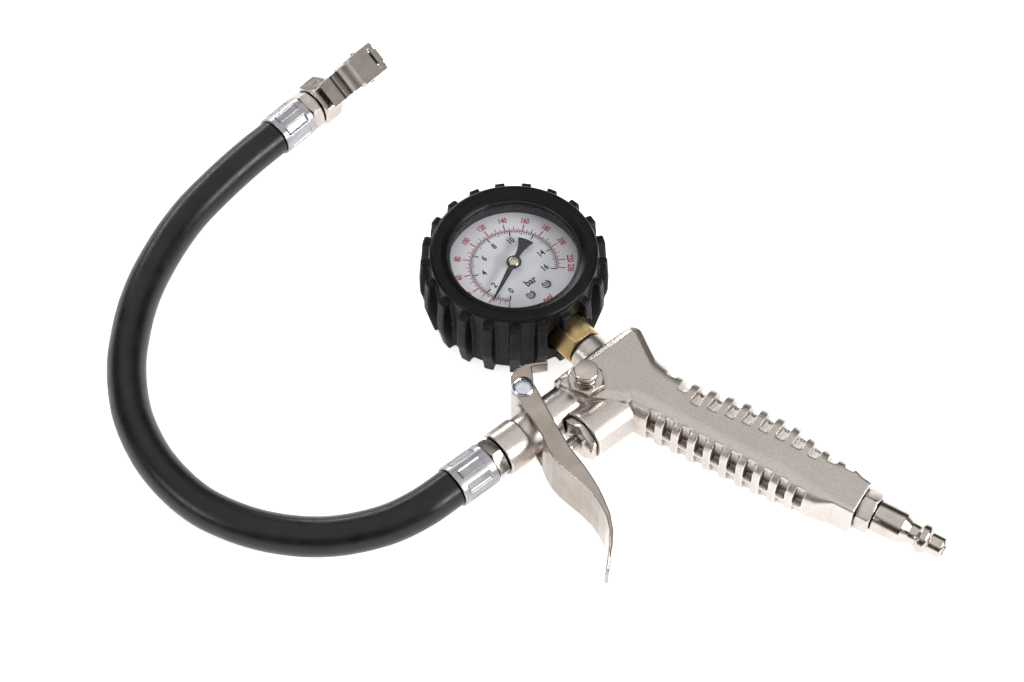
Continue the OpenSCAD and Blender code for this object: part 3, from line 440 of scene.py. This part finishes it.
LOOKS = {
    "cast_nickel": cast_nickel(), "polished_nickel": polished_nickel(), "steel": bright_steel(),
    "brass": turned_brass(), "boot_rubber": moulded_rubber(), "hose_rubber": hose_rubber(),
    "seal_rubber": seal_rubber(), "black_case": black_lacquer(), "aluminium": swaged_aluminium(),
    "lens": clear_lens(), "dial": dial_white(), "pointer_black": pointer_grey(),
}
RED_INK = print_ink("red_ink", (0.50, 0.03, 0.045), (0.62, 0.07, 0.08))
BLACK_INK = print_ink("black_ink", (0.012, 0.012, 0.014), (0.035, 0.035, 0.04))
SLOT_OF = {s["node"]: s["material_slot"] for s in frame["record"]["subparts"]}
BEHAVIOUR = frame["record"]["behaviour"]
BODY_OF = {n: body for body, names in BEHAVIOUR["bodies"].items() for n in names}


def wear(obj, material):
    obj.data.materials.clear()
    obj.data.materials.append(material)


for name, obj in NODES.items():
    wear(obj, LOOKS[SLOT_OF[name]])
wear(hose_skin, LOOKS["hose_rubber"])


# ---------- pieces made from the CAD nodes ----------

WELD = 1e-6
FLAT_ANGLE = math.radians(0.5)
BEVEL_ANGLE = math.radians(28)
SHARP_ANGLE = math.radians(32)


def copied(node, suffix):
    """A welded copy of a node's mesh, as a new object."""
    mesh = NODES[node].data.copy()
    mesh.name = node + suffix
    bm = bmesh.new()
    bm.from_mesh(mesh)
    bmesh.ops.remove_doubles(bm, verts=bm.verts, dist=WELD)
    bm.to_mesh(mesh)
    bm.free()
    return link(node + suffix, mesh)


def applied(obj):
    """The same object, with its modifiers made part of its mesh."""
    graph = bpy.context.evaluated_depsgraph_get()
    graph.update()
    mesh = bpy.data.meshes.new_from_object(obj.evaluated_get(graph))
    obj.modifiers.clear()
    old = obj.data
    obj.data = mesh
    bpy.data.meshes.remove(old)
    return obj


def stands_for(obj, node, material=None):
    """Shows obj in place of a node, in the node's own look unless material is given."""
    wear(obj, material or LOOKS[SLOT_OF[node]])
    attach(obj, BODY_OF[node])
    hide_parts(node)
    return obj


def softened(node, voxel_mm, passes, material=None):
    """The node's shape with all its edges and inner corners run together, as on a casting or moulding."""
    obj = copied(node, "_skin")
    remesh = obj.modifiers.new("remesh", "REMESH")
    remesh.mode = "VOXEL"
    remesh.voxel_size = voxel_mm * MM
    remesh.adaptivity = 0
    ease = obj.modifiers.new("ease", "SMOOTH")
    ease.factor = 0.5
    ease.iterations = passes
    applied(obj)
    obj.data.shade_smooth()
    return stands_for(obj, node, material)


def eased(node, width_mm, material=None, segments=2):
    """The node's shape with its sharp edges broken by a small bevel, as on a machined part."""
    obj = copied(node, "_part")
    bm = bmesh.new()
    bm.from_mesh(obj.data)
    bmesh.ops.dissolve_limit(bm, angle_limit=FLAT_ANGLE, verts=bm.verts, edges=bm.edges)
    bm.to_mesh(obj.data)
    bm.free()
    bevel = obj.modifiers.new("bevel", "BEVEL")
    bevel.width = width_mm * MM
    bevel.segments = segments
    bevel.limit_method = "ANGLE"
    bevel.angle_limit = BEVEL_ANGLE
    bevel.use_clamp_overlap = True
    applied(obj)
    obj.data.shade_smooth()
    obj.data.set_sharp_from_angle(angle=SHARP_ANGLE)
    return stands_for(obj, node, material)


softened("gun_body", 0.36, 4)
softened("trigger_lever", 0.28, 5, pressed_nickel())
softened("gauge_boot", 0.42, 3)
softened("gun_ferrule", 0.20, 14)
softened("chuck_ferrule", 0.20, 14)
softened("chuck_body", 0.22, 3)
softened("chuck_clip", 0.16, 5)
for node, width in (("gun_hose_fitting", 0.3), ("chuck_hose_fitting", 0.3), ("valve_gland_nut", 0.3),
                    ("bleed_valve_body", 0.3), ("bleed_button", 0.25), ("inlet_plug", 0.25),
                    ("gauge_stem", 0.3), ("gauge_bezel", 0.2), ("valve_stem", 0.15)):
    eased(node, width)
eased("pointer_hub", 0.25, pale_gold())
eased("lever_pivot_pin", 0.6, zinc_rivet(), 4)
eased("dial_screws", 0.35, grey_steel(), 4)


# ---------- springs, shown as copies of their coils ------------------

def sprung(node):
    """The coil, copied and shown in place of its node, on a mesh of its own."""
    coil = stands_for(copied(node, "_coil"), node)
    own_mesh(coil)


sprung("poppet_spring")
sprung("bleed_spring")
sprung("clip_spring")


# ---------- printing on the dial ----------

DIAL_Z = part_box("dial_plate")[1].z
INK_T = 0.00003
SWEEP = math.radians(270)
ZERO = math.radians(-135)
FULL_BAR = 16.0
BAR_PER_PSI = 0.0689476
ARC_R = 0.0166
BAR_TICK_FROM = (0.0142, 0.0149, 0.0155)
BAR_TICK_W = (0.00050, 0.00031)
BAR_FIGURES = (0.0037, 0.0119)
PSI_TICK_TO = (0.0200, 0.0188, 0.0180)
PSI_TICK_W = (0.00046, 0.00029)
PSI_FIGURES = (0.0034, 0.0218)
LAST_PSI = 230
HIDDEN_BAR = 12


def dial_angle(bar):
    return ZERO - SWEEP * bar / FULL_BAR


def ink_bar(bm, angle, r0, r1, width):
    """A radial stroke of ink."""
    out = Vector((math.cos(angle), math.sin(angle), 0))
    side = Vector((-out.y, out.x, 0)) * width / 2
    base = Vector((0, 0, DIAL_Z))
    corners = [out * r0 - side, out * r1 - side, out * r1 + side, out * r0 + side]
    low = [bm.verts.new(base + c) for c in corners]
    high = [bm.verts.new(base + c + Vector((0, 0, INK_T))) for c in corners]
    bm.faces.new(list(reversed(low)))
    bm.faces.new(high)
    for k in range(4):
        bm.faces.new((low[k], low[(k + 1) % 4], high[(k + 1) % 4], high[k]))


def ink_arc(bm, a0, a1, radius, width, steps=180):
    """A line of ink along an arc."""
    rings = []
    for k in range(steps + 1):
        a = a0 + (a1 - a0) * k / steps
        out = Vector((math.cos(a), math.sin(a), 0))
        rings.append([bm.verts.new(out * r + Vector((0, 0, z))) for r, z in (
            (radius - width / 2, DIAL_Z), (radius + width / 2, DIAL_Z),
            (radius + width / 2, DIAL_Z + INK_T), (radius - width / 2, DIAL_Z + INK_T))])
    for a, b in zip(rings, rings[1:]):
        for k in range(4):
            bm.faces.new((a[k], a[(k + 1) % 4], b[(k + 1) % 4], b[k]))
    bm.faces.new(rings[0])
    bm.faces.new(list(reversed(rings[-1])))


def ink_text(bm, text, size, centre, turn, narrow=0.78):
    """Adds lettering to a mesh: its middle at centre, its up direction turned by turn from +Y."""
    curve = bpy.data.curves.new("lettering", "FONT")
    curve.body = text
    curve.size = size
    curve.align_x = "CENTER"
    curve.align_y = "CENTER"
    curve.extrude = INK_T / 2
    curve.offset = size * 0.030
    curve.resolution_u = 3
    holder = link("lettering", curve)
    mesh = bpy.data.meshes.new_from_object(holder.evaluated_get(bpy.context.evaluated_depsgraph_get()))
    place = (Matrix.Translation((centre[0], centre[1], DIAL_Z + INK_T / 2))
             @ Matrix.Rotation(turn, 4, "Z") @ Matrix.Diagonal((narrow, 1, 1, 1)))
    mesh.transform(place)
    bm.from_mesh(mesh)
    bpy.data.objects.remove(holder)
    bpy.data.meshes.remove(mesh)
    bpy.data.curves.remove(curve)


def around(radius, angle):
    return (radius * math.cos(angle), radius * math.sin(angle))


def print_scale(name, bm, ink):
    """Turns the mesh into a printed piece on the dial."""
    bmesh.ops.recalc_face_normals(bm, faces=bm.faces)
    mesh = bpy.data.meshes.new(name)
    bm.to_mesh(mesh)
    bm.free()
    obj = link(name, mesh)
    wear(obj, ink)
    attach(obj, "gun")


def tick_rank(is_long, is_middle):
    """0 for a long tick, 1 for a middle one, 2 for a short one."""
    return 0 if is_long else 1 if is_middle else 2


def bar_scale():
    """Black scale, five ticks to the bar; the figure under the pointer's fan is left out."""
    bm = bmesh.new()
    ink_arc(bm, dial_angle(0), dial_angle(FULL_BAR), ARC_R, 0.00030)
    for k in range(81):
        rank = tick_rank(k % 10 == 0, k % 5 == 0)
        ink_bar(bm, dial_angle(k * 0.2), BAR_TICK_FROM[rank], ARC_R, BAR_TICK_W[min(rank, 1)])
    size, radius = BAR_FIGURES
    for bar in range(0, 17, 2):
        if bar != HIDDEN_BAR:
            ink_text(bm, str(bar), size, around(radius, dial_angle(bar)), 0)
    ink_text(bm, "bar", 0.0043, (0, -0.0098), 0, 0.85)
    print_scale("bar_scale", bm, BLACK_INK)


def psi_scale():
    """Red scale outside the arc, a tick every 5 psi, its figures turned to face the hub."""
    bm = bmesh.new()
    ink_arc(bm, dial_angle(0), dial_angle(FULL_BAR), ARC_R + 0.00055, 0.00022)
    for psi in range(0, LAST_PSI + 1, 5):
        rank = tick_rank(psi % 20 == 0 or psi == LAST_PSI, psi % 10 == 0)
        ink_bar(bm, dial_angle(psi * BAR_PER_PSI), ARC_R + 0.0005, PSI_TICK_TO[rank],
                PSI_TICK_W[min(rank, 1)])
    size, radius = PSI_FIGURES
    for psi in list(range(0, 221, 20)) + [LAST_PSI]:
        a = dial_angle(psi * BAR_PER_PSI)
        ink_text(bm, str(psi), size, around(radius, a), a - math.pi / 2, 0.70)
    ink_text(bm, "psi", 0.0042, (0, -0.0202), 0, 0.85)
    print_scale("psi_scale", bm, RED_INK)


bar_scale()
psi_scale()


# ---------- floor and light ----------

FLOOR_HALF = 3
FLOOR_DROP = 0.0002
LIGHT_AIM = (0, -0.02, 0.01)
# brightness by direction, straight down to straight up: white table, dark walls, soft box overhead
STUDIO = [(0.0, 0.60), (0.10, 0.45), (0.20, 0.06), (0.56, 0.04), (0.70, 0.42), (0.84, 1.0), (1.0, 0.85)]
STUDIO_TINT = (1, 0.985, 0.965)


def make_floor():
    bm = bmesh.new()
    bmesh.ops.create_grid(bm, x_segments=1, y_segments=1, size=FLOOR_HALF)
    mesh = bpy.data.meshes.new("floor")
    bm.to_mesh(mesh)
    bm.free()
    obj = link("floor", mesh)
    obj.location.z = -FLOOR_DROP
    p = Paint("studio_paper", (0.90, 0.90, 0.90), 0.9, specular=0.1)
    p.bsdf.inputs["Emission Color"].default_value = (1, 1, 1, 1)
    p.bsdf.inputs["Emission Strength"].default_value = 0.72
    p.bump(p.noise(3), 0.02, 0.2)
    wear(obj, p.m)


def soft_light(name, at, wide, high, power):
    """A rectangular soft box, turned to the middle of the object."""
    data = bpy.data.lights.new(name, "AREA")
    data.shape = "RECTANGLE"
    data.size = wide
    data.size_y = high
    data.energy = power
    obj = bpy.data.objects.new(name, data)
    obj.location = at
    obj.rotation_euler = (Vector(LIGHT_AIM) - Vector(at)).to_track_quat("-Z", "Y").to_euler()
    bpy.context.scene.collection.objects.link(obj)


def make_light():
    world = bpy.data.worlds.new("studio")
    bpy.context.scene.world = world
    world.use_nodes = True
    nt = world.node_tree
    back = nt.nodes["Background"]
    back.inputs["Strength"].default_value = 1.0
    axes = nt.nodes.new("ShaderNodeSeparateXYZ")
    nt.links.new(nt.nodes.new("ShaderNodeTexCoord").outputs["Generated"], axes.inputs["Vector"])
    sky = nt.nodes.new("ShaderNodeValToRGB")
    nt.links.new(axes.outputs["Z"], sky.inputs["Fac"])
    while len(sky.color_ramp.elements) < len(STUDIO):
        sky.color_ramp.elements.new(0.5)
    for e, (place, v) in zip(sky.color_ramp.elements, STUDIO):
        e.position = place
        e.color = (*(v * tint for tint in STUDIO_TINT), 1)
    nt.links.new(sky.outputs["Color"], back.inputs["Color"])
    soft_light("key", (0.42, -1.0, 0.52), 0.75, 0.24, 11)
    soft_light("fill", (-1.15, 0.25, 0.62), 0.60, 0.22, 3)
    soft_light("rim", (0.30, 1.15, 0.45), 0.70, 0.20, 4)


make_floor()
make_light()
bpy.context.scene.view_settings.view_transform = "Standard"
